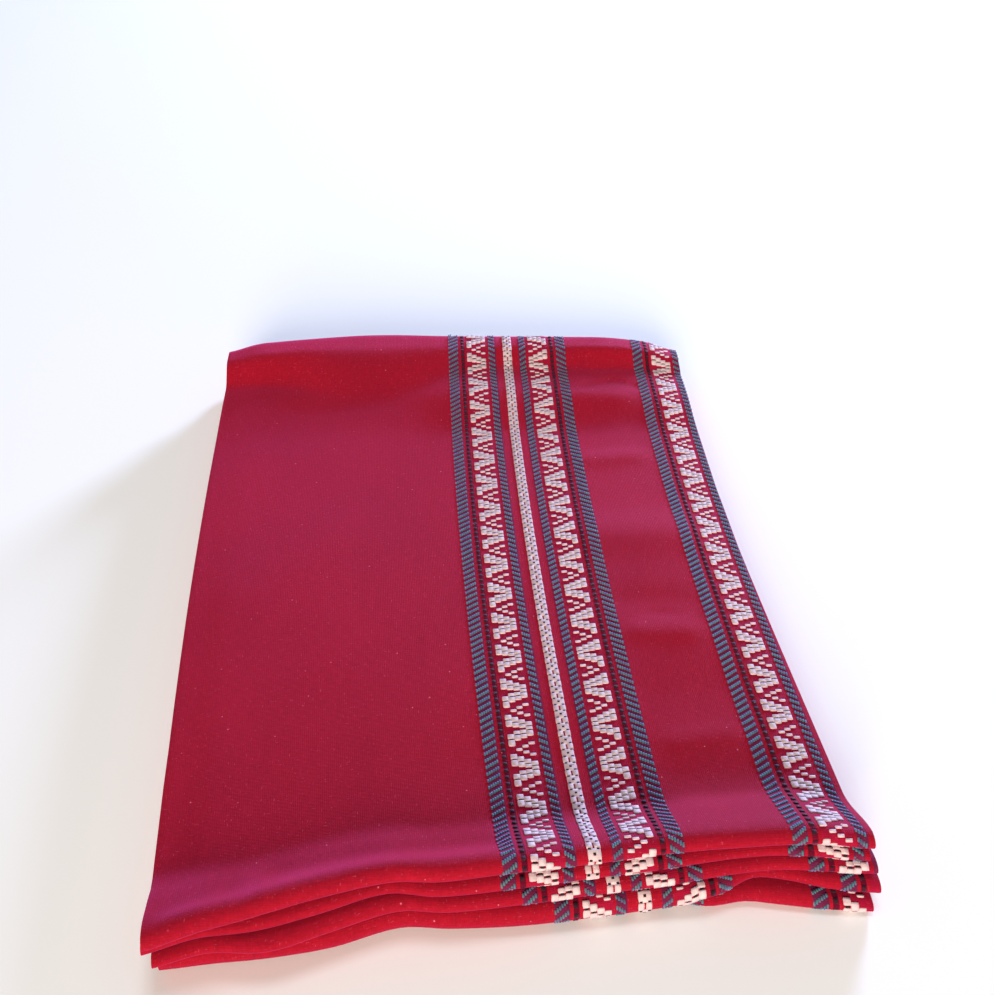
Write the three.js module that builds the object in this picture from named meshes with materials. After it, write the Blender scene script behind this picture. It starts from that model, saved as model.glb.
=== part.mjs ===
// A folded tablecloth: one long, heavy woven cotton cloth, folded back and forth into a pile of ten layers.
// Five round folds show at the front and five at the back; the end of the top layer is turned under at the
// back, and the other end lies flat underneath. The pile is pressed low in the middle and springs up to its
// folds, and no two folds reach equally far.
// Millimetres, +Z up, +Y from the front folds to the back folds, +X to the right of someone at the front.
// The origin is on the table, under the middle of the pile.
import * as THREE from "three";

// ---- Driving dimensions ----
const WIDTH = 430; // left edge to right edge
const FRONT_LINE = 288; // middle of the pile to where the front folds' reach is counted from
const BACK_LINE = 290; // middle of the pile to where the back folds' reach is counted from
const SHEET = 2; // thickness of the cloth
const GAP = 1; // space between a fold and the next one down
const PRESSED = 30; // height of the pile in the middle
const FRONT_TOP = 51; // height of the pile at the front folds
const BACK_TOP = 47; // height of the pile at the back folds
const FRONT_RISE = 48; // distance from the front folds at which the layers start to climb to them
const BACK_STEEP_END = 6; // distance from the back folds at which the steep climb to them ends
const BACK_GENTLE = { start: 130, end: 66 }; // the same for the top layer's early, gentle climb
const NOSE = 7; // length of a fold's round nose
const NOSE_STEPS = 5; // facets round a nose
const FLAP = 50; // length of the top layer's end that is turned under
const UPPER_HANG = 0.17; // share of fold d's hang that its upper layer follows
const BOW = 5; // how far the pile's two ends sit to the right of its middle
const NARROWING = 9; // how much narrower the pile is at the back than at the front, all on its right side
const NARROW_FROM = 0.7; // share of the pile's depth, from the front, over which it narrows
const LAYERS = 10; // layers between the front and back folds, 1 at the top
const COLOUR = 0xb0182e; // deep red cotton

// How far the nose of each front fold, a at the top to e at the bottom, reaches past the front line,
// at places across the pile. The left corner is pulled forward; near x = 140 the lower folds draw back.
const FRONT_REACH = [
  { x: -215, a: 42, b: 38, c: 41, d: 32, e: 8 },
  { x: -185, a: 35, b: 31, c: 35, d: 31, e: 4 },
  { x: -150, a: 26, b: 29, c: 37, d: 30, e: 0 },
  { x: -115, a: 17, b: 21, c: 27, d: 26, e: -2 },
  { x: -75, a: 10, b: 10, c: 16, d: 16, e: -3 },
  { x: -45, a: 12, b: 15, c: 19, d: 19, e: -3 },
  { x: 0, a: 9, b: 13, c: 17, d: 20, e: -3 },
  { x: 50, a: 6, b: 9, c: 13, d: 17, e: -2 },
  { x: 85, a: 3, b: 7, c: 11, d: 15, e: 1 },
  { x: 115, a: 2, b: 4, c: 8, d: 13, e: 12 },
  { x: 140, a: 2, b: 2, c: 6, d: 3, e: 11 },
  { x: 160, a: 2, b: 2, c: 6, d: 6, e: 15 },
  { x: 185, a: 3, b: 5, c: 9, d: 14, e: 20 },
  { x: 215, a: 6, b: 8, c: 11, d: 18, e: 24 },
];

// Height of the underside of front folds a to d, and how far fold d's nose hangs below it in front of e.
const FRONT_UNDERSIDE = [
  { x: -215, a: 40, b: 31, c: 21.5, d: 10.5, hang: 7.5 },
  { x: -75, a: 41, b: 31.5, c: 21, d: 10.5, hang: 7 },
  { x: 50, a: 41, b: 31, c: 21, d: 10.5, hang: 8 },
  { x: 90, a: 41, b: 31.5, c: 21.5, d: 10.5, hang: 6 },
  { x: 115, a: 41, b: 32, c: 22, d: 10.5, hang: 0 },
  { x: 145, a: 41, b: 32, c: 22.5, d: 12.5, hang: 0 },
  { x: 215, a: 40.5, b: 31, c: 21, d: 10, hang: 0 },
];

// How far each back fold, a at the top to e at the bottom, reaches past the back line, with the lower end.
const BACK_REACH = [
  { x: -215, a: 26, b: 18, c: 24, d: 20, e: 26, end: 15 },
  { x: -190, a: 32, b: 25, c: 27, d: 22, e: 28, end: 14 },
  { x: -100, a: 39, b: 31, c: 27, d: 33, e: 30, end: 16 },
  { x: -60, a: 38, b: 33, c: 25, d: 35, e: 27, end: 18 },
  { x: 0, a: 31, b: 30, c: 28, d: 29, e: 23, end: 19 },
  { x: 100, a: 22, b: 17, c: 23, d: 15, e: 21, end: 15 },
  { x: 190, a: 12, b: 10, c: 16, d: 7, e: 14, end: 9 },
  { x: 215, a: 3, b: 6, c: 8, d: 2, e: 8, end: 4 },
];

// Height of the underside of the back folds.
const BACK_UNDERSIDE = [
  { x: -215, a: 38, b: 29.5, c: 20.5, d: 11.5, e: 3 },
  { x: 0, a: 38.5, b: 29, c: 20.5, d: 12, e: 3 },
  { x: 215, a: 38, b: 29.5, c: 20, d: 11.5, e: 3 },
];

// Distance from the back folds at which the steep climb starts, and the share of the top layer's climb
// that comes earlier and gently. On the left one long slope leads up; on the right there is a step in it.
const BACK_CLIMB = [
  { x: -215, steep: 32, early: 0.1 },
  { x: -150, steep: 50, early: 0.1 },
  { x: -105, steep: 72, early: 0.1 },
  { x: -45, steep: 68, early: 0.2 },
  { x: 0, steep: 44, early: 0.5 },
  { x: 90, steep: 34, early: 0.4 },
  { x: 170, steep: 28, early: 0.3 },
  { x: 215, steep: 28, early: 0.3 },
];

// How far each fold lies to the right of the top one, so that the sides of the pile are uneven.
const SIDE_SHIFT = {
  front: { a: 0, b: -2, c: 3, d: 4, e: -1 },
  back: { a: 0, b: 2, c: -2, d: 3, e: 1, end: -2 },
};

// Soft swells and hollows of the top: middle, half-lengths across and along the pile, and height.
const SWELLS = [
  { x: -130, y: 215, across: 95, along: 40, height: -1.5 },
  { x: 30, y: -205, across: 75, along: 40, height: -2 },
  { x: 130, y: 245, across: 45, along: 28, height: 1.5 },
  { x: 165, y: -60, across: 40, along: 90, height: 2 },
  { x: -120, y: -60, across: 90, along: 120, height: 1.5 },
];

// The left and right edges hang a little, most of all at the far right corner.
const EDGE_HANG = { start: 180, share: 0.09 };
const CORNER_HANG = { x: 225, y: 310, radius: 90, share: 0.16 };

// Places across the pile where the section is worked out, closest where the lower folds draw back.
const COLUMNS = [-215, -200, -180, -148, -115, -78, -42, 10, 55, 86, 104, 122, 141, 162, 190, 215];

// A layer has points at its two ends, at these distances from the shoulders, and some evenly between.
const TOP_STEPS = {
  front: [2, 10, 19, 28, 38, 50],
  middle: 3,
  back: [130, 98, 70, 54, 40, 28, 17, 6],
};
const HIDDEN_STEPS = { front: [2, 19, 38, 50], middle: 1, back: [70, 28, 6] };

const FOLD_NAMES = ["a", "b", "c", "d", "e"];

// ---- Helpers ----
const clamp01 = (t) => Math.min(1, Math.max(0, t));
const smooth = (t) => clamp01(t) ** 2 * (3 - 2 * clamp01(t));
const climb = (distance, start, end) => smooth((start - distance) / (start - end));

// The value of one column of a table at x, on a smooth curve through its rows.
function lookUp(table, name, x) {
  const last = table.length - 1;
  const at = Math.max(0, Math.min(last - 1, table.findIndex((row) => row.x > x) - 1));
  const i = x >= table[last].x ? last - 1 : at;
  const row = (k) => table[Math.max(0, Math.min(last, k))];
  const slope = (k) => (row(k + 1)[name] - row(k - 1)[name]) / (row(k + 1).x - row(k - 1).x);
  const span = row(i + 1).x - row(i).x;
  const t = clamp01((x - row(i).x) / span);
  const ease = smooth(t);
  return (
    row(i)[name] * (1 - ease) +
    row(i + 1)[name] * ease +
    span * (slope(i) * t * (1 - t) ** 2 - slope(i + 1) * t ** 2 * (1 - t))
  );
}

const frontEnd = (fold, x) => -(FRONT_LINE + lookUp(FRONT_REACH, fold, x) - NOSE);
const backEnd = (fold, x) => BACK_LINE + lookUp(BACK_REACH, fold, x) - NOSE;

// The shoulders, which the layers climb to: the straight end of the fold that reaches least.
function frontShoulder(x) {
  return Math.max(...["a", "b", "c", "d"].map((fold) => frontEnd(fold, x)));
}
function backShoulder(x) {
  return Math.min(...FOLD_NAMES.map((fold) => backEnd(fold, x)));
}

// ---- Heights of the layers' middle planes ----
function pressedHeight(layer) {
  return SHEET / 2 + ((LAYERS - layer) / (LAYERS - 1)) * (PRESSED - SHEET);
}

// Layers 1 and 2 make front fold a, 3 and 4 fold b, and so on down.
function frontHeight(layer, x) {
  if (layer === LAYERS) return SHEET / 2;
  const fold = Math.ceil(layer / 2) - 1;
  if (layer % 2 === 0) return lookUp(FRONT_UNDERSIDE, FOLD_NAMES[fold], x) + SHEET / 2;
  if (fold === 0) return FRONT_TOP - SHEET / 2;
  return lookUp(FRONT_UNDERSIDE, FOLD_NAMES[fold - 1], x) - GAP - SHEET / 2;
}

// The turned-under flap, layer 0, and layer 1 make back fold a, layers 2 and 3 fold b, and so on down.
function backHeight(layer, x) {
  if (layer === LAYERS) return SHEET / 2;
  if (layer === 1) return BACK_TOP - SHEET / 2;
  const fold = Math.floor(layer / 2);
  if (layer % 2 === 1 || layer === 0) return lookUp(BACK_UNDERSIDE, FOLD_NAMES[fold], x) + SHEET / 2;
  return lookUp(BACK_UNDERSIDE, FOLD_NAMES[fold - 1], x) - GAP - SHEET / 2;
}

function swell(x, y) {
  return SWELLS.reduce(
    (sum, s) => sum + s.height * Math.exp(-(((x - s.x) / s.across) ** 2) - ((y - s.y) / s.along) ** 2),
    0,
  );
}

function hang(x, y) {
  const edge = smooth((Math.abs(x) - EDGE_HANG.start) / (WIDTH / 2 - EDGE_HANG.start));
  const corner = smooth(1 - Math.hypot(x - CORNER_HANG.x, y - CORNER_HANG.y) / CORNER_HANG.radius);
  return EDGE_HANG.share * edge + CORNER_HANG.share * corner;
}

function layerHeight(layer, x, y) {
  if (layer === 0) {
    // The flap lies between layers 1 and 2, low at its fold and midway at its end.
    const under = layerHeight(2, x, y);
    const over = layerHeight(1, x, y);
    const low = (backHeight(0, x) - backHeight(2, x)) / (backHeight(1, x) - backHeight(2, x));
    const share = low + (0.5 - low) * smooth((backEnd("a", x) - y) / (FLAP / 2));
    return under + (over - under) * share;
  }
  const front = climb(y - frontShoulder(x), FRONT_RISE, -NOSE);
  const fromBack = backShoulder(x) - y;
  const steep = climb(fromBack, lookUp(BACK_CLIMB, "steep", x), BACK_STEEP_END);
  const gentle = climb(fromBack, BACK_GENTLE.start, BACK_GENTLE.end);
  const early = layer === 1 ? lookUp(BACK_CLIMB, "early", x) : 0;
  const back = early * gentle + (1 - early) * steep;
  const flat = pressedHeight(layer);
  const calm = flat + swell(x, y) * (flat / PRESSED) ** 2 * (1 - front) * (1 - back);
  const level = calm + (frontHeight(layer, x) - flat) * front + (backHeight(layer, x) - flat) * back;
  return layer === LAYERS ? SHEET / 2 : SHEET / 2 + (level - SHEET / 2) * (1 - hang(x, y));
}

// In front of fold e the nose of fold d hangs lower: its lower layer fully, its upper one a little.
function noseHang(layer, x, y) {
  if (layer !== 7 && layer !== 8) return 0;
  const start = frontEnd("e", x) - NOSE;
  const end = frontEnd("d", x);
  if (end >= start) return 0;
  const full = lookUp(FRONT_UNDERSIDE, "hang", x) * smooth((start - y) / (start - end));
  return layer === 8 ? full : full * UPPER_HANG;
}

const height = (layer, x, y) => layerHeight(layer, x, y) - noseHang(layer, x, y);

// Each layer crosses from its front fold's shift to its back fold's.
function sideShift(layer, y) {
  const front = SIDE_SHIFT.front[FOLD_NAMES[Math.max(0, Math.ceil(layer / 2) - 1)]];
  const back = layer === LAYERS ? SIDE_SHIFT.back.end : SIDE_SHIFT.back[FOLD_NAMES[Math.floor(layer / 2)]];
  return front + (back - front) * smooth((y + FRONT_LINE) / (FRONT_LINE + BACK_LINE));
}

// Where a point of the cloth lies across the pile: it bows to the right at both ends and narrows to the back.
function acrossPile(x, y, shift) {
  const depth = (y + FRONT_LINE) / (FRONT_LINE + BACK_LINE);
  const narrowed = NARROWING * (x / WIDTH + 0.5) * smooth(depth / NARROW_FROM);
  return x + shift + BOW * (y / FRONT_LINE) ** 2 - narrowed;
}

// ---- The section at one place across the pile ----
// A layer's middle line from its front end to its back end, as [y, z, shift] points.
function layerLine(layer, x, frontY, backY, steps) {
  const near = [frontY, ...steps.front.map((d) => Math.max(frontY, frontShoulder(x)) + d)];
  const far = [...steps.back.map((d) => Math.min(backY, backShoulder(x)) - d), backY];
  const start = near[near.length - 1];
  const gap = (far[0] - start) / (steps.middle + 1);
  const between = Array.from({ length: steps.middle }, (_, i) => start + gap * (i + 1));
  return [...near, ...between, ...far].map((y) => [y, height(layer, x, y), sideShift(layer, y)]);
}

// The points round a nose between two layers' ends, without the ends themselves.
function noseLine(from, to, direction) {
  const points = [];
  const middle = (from[1] + to[1]) / 2;
  const half = (from[1] - to[1]) / 2;
  for (let i = 1; i < NOSE_STEPS; i++) {
    const turn = (Math.PI * i) / NOSE_STEPS;
    points.push([from[0] + direction * NOSE * Math.sin(turn), middle + half * Math.cos(turn), from[2]]);
  }
  return points;
}

// The middle line of the whole cloth, from the end of the turned-under flap to the lower end.
function sectionLine(x) {
  const topBack = backEnd("a", x);
  const flapYs = [FLAP, (FLAP * 2) / 3, FLAP / 3, FLAP / 8, 0].map((d) => topBack - d);
  let line = flapYs.map((y) => [y, height(0, x, y), SIDE_SHIFT.back.a]);
  let backY = topBack;
  for (let layer = 1; layer <= LAYERS; layer++) {
    const towardsFront = layer % 2 === 1;
    const frontY = frontEnd(FOLD_NAMES[Math.ceil(layer / 2) - 1], x);
    if (layer > 1) backY = backEnd(FOLD_NAMES[Math.floor(layer / 2)], x);
    if (layer === LAYERS) backY = BACK_LINE + lookUp(BACK_REACH, "end", x);
    const run = layerLine(layer, x, frontY, backY, layer === 1 ? TOP_STEPS : HIDDEN_STEPS);
    if (towardsFront) run.reverse();
    line = [...line, ...noseLine(line[line.length - 1], run[0], towardsFront ? 1 : -1), ...run];
  }
  return line;
}

// The cloth's two faces, half a thickness to each side of its middle line: outer is up on the top layer.
function faces(line) {
  return line.map(([y, z, shift], i) => {
    const before = line[Math.max(0, i - 1)];
    const after = line[Math.min(line.length - 1, i + 1)];
    const along = new THREE.Vector2(after[0] - before[0], after[1] - before[1]).normalize();
    const out = along.rotateAround(new THREE.Vector2(), -Math.PI / 2).multiplyScalar(SHEET / 2);
    return { outer: [y + out.x, z + out.y], inner: [y - out.x, z - out.y], shift };
  });
}

// ---- The cloth as one closed mesh ----
function clothGeometry() {
  const sections = COLUMNS.map((x) => faces(sectionLine(x)));
  const rows = sections[0].length;
  const positions = [];
  for (const side of ["outer", "inner"]) {
    sections.forEach((section, c) => {
      for (const point of section) {
        const [y, z] = point[side];
        positions.push(acrossPile(COLUMNS[c], y, point.shift), y, z);
      }
    });
  }
  const vertex = (side, c, r) => (side * COLUMNS.length + c) * rows + r;
  const triangles = [];
  const quad = (a, b, c, d) => triangles.push(a, b, c, a, c, d);
  for (let c = 0; c < COLUMNS.length - 1; c++) {
    for (let r = 0; r < rows - 1; r++) {
      quad(vertex(0, c, r), vertex(0, c, r + 1), vertex(0, c + 1, r + 1), vertex(0, c + 1, r));
      quad(vertex(1, c, r), vertex(1, c + 1, r), vertex(1, c + 1, r + 1), vertex(1, c, r + 1));
    }
    const lastRow = rows - 1;
    quad(vertex(0, c, 0), vertex(0, c + 1, 0), vertex(1, c + 1, 0), vertex(1, c, 0));
    quad(vertex(0, c, lastRow), vertex(1, c, lastRow), vertex(1, c + 1, lastRow), vertex(0, c + 1, lastRow));
  }
  const lastColumn = COLUMNS.length - 1;
  for (let r = 0; r < rows - 1; r++) {
    quad(vertex(0, 0, r), vertex(1, 0, r), vertex(1, 0, r + 1), vertex(0, 0, r + 1));
    const right = [vertex(0, lastColumn, r), vertex(0, lastColumn, r + 1)];
    quad(...right, vertex(1, lastColumn, r + 1), vertex(1, lastColumn, r));
  }
  const geometry = new THREE.BufferGeometry();
  geometry.setAttribute("position", new THREE.Float32BufferAttribute(positions, 3));
  geometry.setIndex(triangles);
  geometry.computeBoundingBox();
  const centre = geometry.boundingBox.getCenter(new THREE.Vector3());
  geometry.translate(-centre.x, -centre.y, -geometry.boundingBox.min.z);
  geometry.computeVertexNormals();
  return geometry;
}

const cloth = new THREE.Mesh(
  clothGeometry(),
  new THREE.MeshStandardMaterial({ color: COLOUR, roughness: 0.9, metalness: 0 }),
);
cloth.name = "tablecloth";

const foldedTablecloth = new THREE.Group();
foldedTablecloth.add(cloth);

export default foldedTablecloth;
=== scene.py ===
# %% [markdown]
# # A folded tablecloth
# The real thing is a long cotton tablecloth from a hand loom: deep red, with bands of white, blue-green and
# black yarn woven into it. It lies folded back and forth in ten layers. This lesson lays one sheet of cloth
# along those folds, weaves the raised yarns on top of it as real geometry, and lights it softly.
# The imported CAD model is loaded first: it fixes the size, and everything that follows stays inside its box.

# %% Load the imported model
import math
from collections import namedtuple
from functools import lru_cache

import bmesh
import bpy
import numpy as np
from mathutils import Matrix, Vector


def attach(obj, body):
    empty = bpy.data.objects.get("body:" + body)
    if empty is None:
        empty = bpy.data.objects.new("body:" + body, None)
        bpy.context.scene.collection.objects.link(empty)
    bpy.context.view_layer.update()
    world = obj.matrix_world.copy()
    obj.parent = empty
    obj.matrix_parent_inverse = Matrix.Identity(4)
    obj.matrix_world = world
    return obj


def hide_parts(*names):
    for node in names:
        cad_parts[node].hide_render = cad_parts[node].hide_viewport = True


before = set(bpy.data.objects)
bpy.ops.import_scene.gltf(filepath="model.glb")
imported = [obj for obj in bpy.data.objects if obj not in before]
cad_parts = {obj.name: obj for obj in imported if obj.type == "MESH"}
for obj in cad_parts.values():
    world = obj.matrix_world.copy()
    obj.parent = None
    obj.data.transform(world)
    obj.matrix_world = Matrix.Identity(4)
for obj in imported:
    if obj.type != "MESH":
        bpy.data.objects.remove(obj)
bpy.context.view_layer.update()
MM = 0.001

# %% [markdown]
# ## The camera
# Someone stands in front of the pile and looks down on it, so the near folds look wide and the far end
# narrow. A camera is a place, a direction and a lens. The direction is given as two angles, which are easier
# to picture than a rotation: how far it turns to the right, and how far it looks down.

# %% Camera
CAMERA_PLACE = Vector((-50.84, -781.51, 687.5)) * MM
CAMERA_TURN = math.radians(4.7)
CAMERA_DOWN = math.radians(37.13)
SENSOR = 36.0
LENS = 48.169014

direction = Vector((
    math.sin(CAMERA_TURN) * math.cos(CAMERA_DOWN),
    math.cos(CAMERA_TURN) * math.cos(CAMERA_DOWN),
    -math.sin(CAMERA_DOWN),
))
camera = bpy.data.objects.new("camera", bpy.data.cameras.new("camera"))
camera.data.sensor_fit = "HORIZONTAL"
camera.data.sensor_width = SENSOR
camera.data.lens = LENS
camera.data.clip_start = 0.01
camera.location = CAMERA_PLACE
camera.rotation_euler = direction.to_track_quat("-Z", "Y").to_euler()
bpy.context.collection.objects.link(camera)
bpy.context.scene.camera = camera
print("lens, mm:", round(LENS, 1))

# %% [markdown]
# ## The pile in numbers
# A pile of folds is easiest to describe by its side view: where each layer starts and ends, and how high it
# lies. The sizes are in millimetres, with +Y from the front folds to the back
# folds and +X to the right. Front folds a to e run from the top down, and so do the back folds.
# Every table has a column x, the place across the pile, because no two folds reach equally far.

# %% Sizes of the pile
WIDTH = 430
FRONT_LINE = 288
BACK_LINE = 290
SHEET = 2
GAP = 1
PRESSED = 30
FRONT_TOP = 51
BACK_TOP = 47
FRONT_RISE = 48
BACK_STEEP_END = 6
BACK_GENTLE_START, BACK_GENTLE_END = 130, 66
NOSE = 7
FLAP = 50
UPPER_HANG = 0.17
BOW = 5
NARROWING = 9
NARROW_FROM = 0.7
LAYERS = 10
FOLDS = "abcde"
MIDDLE = (3.84, -0.49)  # the CAD model's box is centred on the origin, and this is how far it moved


def table(columns, *rows):
    """Rows of numbers as dictionaries, one key for each column name."""
    return [dict(zip(columns.split(), row)) for row in rows]


# How far each front fold reaches past the front line.
FRONT_REACH = table(
    "x a b c d e",
    (-215, 42, 38, 41, 32, 8),
    (-185, 35, 31, 35, 31, 4),
    (-150, 26, 29, 37, 30, 0),
    (-115, 17, 21, 27, 26, -2),
    (-75, 10, 10, 16, 16, -3),
    (-45, 12, 15, 19, 19, -3),
    (0, 9, 13, 17, 20, -3),
    (50, 6, 9, 13, 17, -2),
    (85, 3, 7, 11, 15, 1),
    (115, 2, 4, 8, 13, 12),
    (140, 2, 2, 6, 3, 11),
    (160, 2, 2, 6, 6, 15),
    (185, 3, 5, 9, 14, 20),
    (215, 6, 8, 11, 18, 24),
)
# Height of the underside of front folds a to d, and how far the nose of fold d hangs in front of fold e.
FRONT_UNDERSIDE = table(
    "x a b c d hang",
    (-215, 40, 31, 21.5, 10.5, 7.5),
    (-75, 41, 31.5, 21, 10.5, 7),
    (50, 41, 31, 21, 10.5, 8),
    (90, 41, 31.5, 21.5, 10.5, 6),
    (115, 41, 32, 22, 10.5, 0),
    (145, 41, 32, 22.5, 12.5, 0),
    (215, 40.5, 31, 21, 10, 0),
)
# How far each back fold, and the lower end of the cloth, reaches past the back line.
BACK_REACH = table(
    "x a b c d e end",
    (-215, 26, 18, 24, 20, 26, 15),
    (-190, 32, 25, 27, 22, 28, 14),
    (-100, 39, 31, 27, 33, 30, 16),
    (-60, 38, 33, 25, 35, 27, 18),
    (0, 31, 30, 28, 29, 23, 19),
    (100, 22, 17, 23, 15, 21, 15),
    (190, 12, 10, 16, 7, 14, 9),
    (215, 3, 6, 8, 2, 8, 4),
)
BACK_UNDERSIDE = table(
    "x a b c d e",
    (-215, 38, 29.5, 20.5, 11.5, 3),
    (0, 38.5, 29, 20.5, 12, 3),
    (215, 38, 29.5, 20, 11.5, 3),
)
# Where the steep climb to the back folds starts, and the top layer's share that climbs earlier.
BACK_CLIMB = table(
    "x steep early",
    (-215, 32, 0.1),
    (-150, 50, 0.1),
    (-105, 72, 0.1),
    (-45, 68, 0.2),
    (0, 44, 0.5),
    (90, 34, 0.4),
    (170, 28, 0.3),
    (215, 28, 0.3),
)
FRONT_SHIFT = dict(a=0, b=-2, c=3, d=4, e=-1)
BACK_SHIFT = dict(a=0, b=2, c=-2, d=3, e=1, end=-2)
SWELLS = table(
    "x y across along height",
    (-130, 215, 95, 40, -1.5),
    (30, -205, 75, 40, -2),
    (130, 245, 45, 28, 1.5),
    (165, -60, 40, 90, 2),
    (-120, -60, 90, 120, 1.5),
)
EDGE_HANG_START, EDGE_HANG = 180, 0.09
CORNER, CORNER_RADIUS, CORNER_HANG = (225, 310), 90, 0.16
print("layers:", LAYERS, " folds:", len(FOLDS), "at the front and at the back")

# %% [markdown]
# ## Creases placed one by one
# A pressed cloth keeps soft marks: the print of something that lay on it, a dent, a faint ridge. They could
# be left to a cloth simulation, but then nobody decides where they are. Here each is one line with a width
# and a height, above zero for a ridge and below for a trough, and it fades out at both ends. Only the top
# layer takes them. The rows of the hidden layers are too far apart to follow a crease, and they would cut
# through it.

# %% Creases
CREASES = table(
    "x0 y0 x1 y1 width height",
    (120, 236, 121, 272, 3.2, 0.9),
    (122, 272, 172, 268, 3.2, 0.9),
    (118, 234, 150, 244, 5.0, -0.9),
    (148, 244, 172, 232, 5.0, -0.8),
    (128, -66, 146, -70, 3.5, -0.5),
    (-150, 226, -60, 230, 14.0, -0.9),
    (112, 221, 150, 218, 13.0, 1.6),
    (108, 183, 160, 186, 15.0, -1.0),
    (112, 131, 150, 133, 12.0, 1.3),
    (108, 30, 165, 26, 24.0, 2.2),
    (112, -50, 150, -54, 14.0, -0.9),
    (118, -85, 150, -88, 12.0, 1.7),
    (115, -150, 165, -146, 26.0, -1.0),
    (118, -190, 155, -188, 10.0, 1.0),
    (115, -221, 175, -219, 15.0, -1.0),
    (115, -252, 175, -250, 14.0, 2.0),
    (-205, -305, -165, -294, 11.5, -2.4),
    (-140, -284, -98, -276, 10.5, -3.0),
    (-82, -274, -15, -272, 10.0, -3.0),
    (-200, -316, -165, -308, 6.0, 1.2),
    (-150, -304, -112, -295, 6.0, 1.2),
    (-100, -292, -15, -288, 6.0, 1.2),
    (-165, -20, -110, 40, 40.0, 1.0),
)


def crease(x, y):
    """Height that the creases add at one place of the top layer."""
    total = 0
    for c in CREASES:
        along = Vector((c["x1"] - c["x0"], c["y1"] - c["y0"]))
        offset = Vector((x - c["x0"], y - c["y0"]))
        share = offset.dot(along) / along.length_squared
        nearest = min(1, max(0, share))
        distance = (offset - along * nearest).length
        total += c["height"] * math.exp(-((distance / c["width"]) ** 2))
    return total


print("creases:", len(CREASES))

# %% [markdown]
# ## From numbers to a side view
# These small functions turn the tables into heights. A smooth curve runs through the rows of a table, the
# layers lie pressed together in the middle of the pile, and they climb to the folds at both ends.

# %% Curves through the tables
def clamp01(t):
    return min(1.0, max(0.0, t))


def smooth(t):
    t = clamp01(t)
    return t * t * (3 - 2 * t)


def climb(distance, start, end):
    return smooth((start - distance) / (start - end))


def look_up(rows, name, x):
    """The value of one column at x, on a smooth curve through the rows."""
    last = len(rows) - 1
    i = max(0, min(last - 1, sum(row["x"] <= x for row in rows) - 1))

    def slope(k):
        before, after = rows[max(0, k - 1)], rows[min(last, k + 1)]
        return (after[name] - before[name]) / (after["x"] - before["x"])

    span = rows[i + 1]["x"] - rows[i]["x"]
    t = clamp01((x - rows[i]["x"]) / span)
    ease = smooth(t)
    level = rows[i][name] * (1 - ease) + rows[i + 1][name] * ease
    return level + span * (slope(i) * t * (1 - t) ** 2 - slope(i + 1) * t**2 * (1 - t))


@lru_cache(maxsize=None)
def front_end(fold, x):
    return -(FRONT_LINE + look_up(FRONT_REACH, fold, x) - NOSE)


@lru_cache(maxsize=None)
def back_end(fold, x):
    return BACK_LINE + look_up(BACK_REACH, fold, x) - NOSE


@lru_cache(maxsize=None)
def front_shoulder(x):
    return max(front_end(fold, x) for fold in "abcd")


@lru_cache(maxsize=None)
def back_shoulder(x):
    return min(back_end(fold, x) for fold in FOLDS)


@lru_cache(maxsize=None)
def back_climb(x):
    return look_up(BACK_CLIMB, "steep", x), look_up(BACK_CLIMB, "early", x)


# %% Heights of the layers' middle planes
def pressed_height(layer):
    return SHEET / 2 + (LAYERS - layer) / (LAYERS - 1) * (PRESSED - SHEET)


@lru_cache(maxsize=None)
def front_height(layer, x):
    if layer == LAYERS:
        return SHEET / 2
    fold = (layer + 1) // 2 - 1
    if layer % 2 == 0:
        return look_up(FRONT_UNDERSIDE, FOLDS[fold], x) + SHEET / 2
    if fold == 0:
        return FRONT_TOP - SHEET / 2
    return look_up(FRONT_UNDERSIDE, FOLDS[fold - 1], x) - GAP - SHEET / 2


@lru_cache(maxsize=None)
def back_height(layer, x):
    if layer == LAYERS:
        return SHEET / 2
    if layer == 1:
        return BACK_TOP - SHEET / 2
    fold = layer // 2
    if layer % 2 == 1 or layer == 0:
        return look_up(BACK_UNDERSIDE, FOLDS[fold], x) + SHEET / 2
    return look_up(BACK_UNDERSIDE, FOLDS[fold - 1], x) - GAP - SHEET / 2


def swell(x, y):
    total = 0
    for s in SWELLS:
        away = ((x - s["x"]) / s["across"]) ** 2 + ((y - s["y"]) / s["along"]) ** 2
        total += s["height"] * math.exp(-away)
    return total


def hang(x, y):
    edge = smooth((abs(x) - EDGE_HANG_START) / (WIDTH / 2 - EDGE_HANG_START))
    corner = smooth(1 - math.hypot(x - CORNER[0], y - CORNER[1]) / CORNER_RADIUS)
    return EDGE_HANG * edge + CORNER_HANG * corner


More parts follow.
